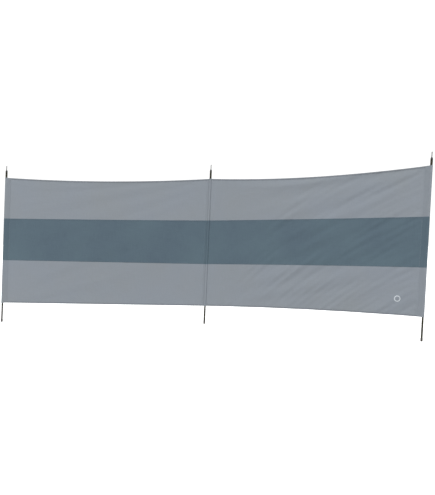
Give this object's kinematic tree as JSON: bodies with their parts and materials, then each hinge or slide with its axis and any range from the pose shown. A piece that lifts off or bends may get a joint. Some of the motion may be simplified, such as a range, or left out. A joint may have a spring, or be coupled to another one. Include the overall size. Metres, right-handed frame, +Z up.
{
  "type": "beach windbreak",
  "caption": "Two-bay beach windbreak: banded cloth on steel poles with top spikes, folding at the middle pole.",
  "frame": {"origin": "centre of the middle pole's foot, on the ground", "axes": "+X along the cloth towards the right pole, -Y the side the bays close in on, +Z up"},
  "size_m": [3.9104, 0.4305, 1.5016],
  "materials": {
    "light_cloth": "matt woven polyester, light grey",
    "blue_cloth": "matt woven polyester, blue-grey",
    "bronze_steel": "dark olive bronze powder coat, satin",
    "zinc_steel": "zinc plated",
    "black_plastic": "moulded, matt"
  },
  "bodies": {
    "left_bay": {"left_foot_cap": "black_plastic", "left_lower_tube": "bronze_steel", "left_upper_tube": "bronze_steel", "left_plug": "black_plastic", "left_spike": "zinc_steel", "middle_foot_cap": "black_plastic", "middle_lower_tube": "bronze_steel", "middle_upper_tube": "bronze_steel", "middle_plug": "black_plastic", "middle_spike": "zinc_steel", "left_sleeve_low": "light_cloth", "left_sleeve_mid": "blue_cloth", "left_sleeve_top": "light_cloth", "middle_sleeve_low": "light_cloth", "middle_sleeve_mid": "blue_cloth", "middle_sleeve_top": "light_cloth", "left_bottom_hem": "light_cloth", "left_lower_band": "light_cloth", "left_middle_band": "blue_cloth", "left_upper_band": "light_cloth", "left_top_hem": "light_cloth"},
    "right_bay": {"right_foot_cap": "black_plastic", "right_lower_tube": "bronze_steel", "right_upper_tube": "bronze_steel", "right_plug": "black_plastic", "right_spike": "zinc_steel", "right_sleeve_low": "light_cloth", "right_sleeve_mid": "blue_cloth", "right_sleeve_top": "light_cloth", "right_bottom_hem": "light_cloth", "right_lower_band": "light_cloth", "right_middle_band": "blue_cloth", "right_upper_band": "light_cloth", "right_top_hem": "light_cloth"}
  },
  "joints": [
    {"name": "bay_fold", "type": "hinge", "parent": "left_bay", "child": "right_bay", "pos_m": [0, 0, 0], "axis": [0.0436, 0, 0.999], "range_deg": [-136, 184]}
  ]
}
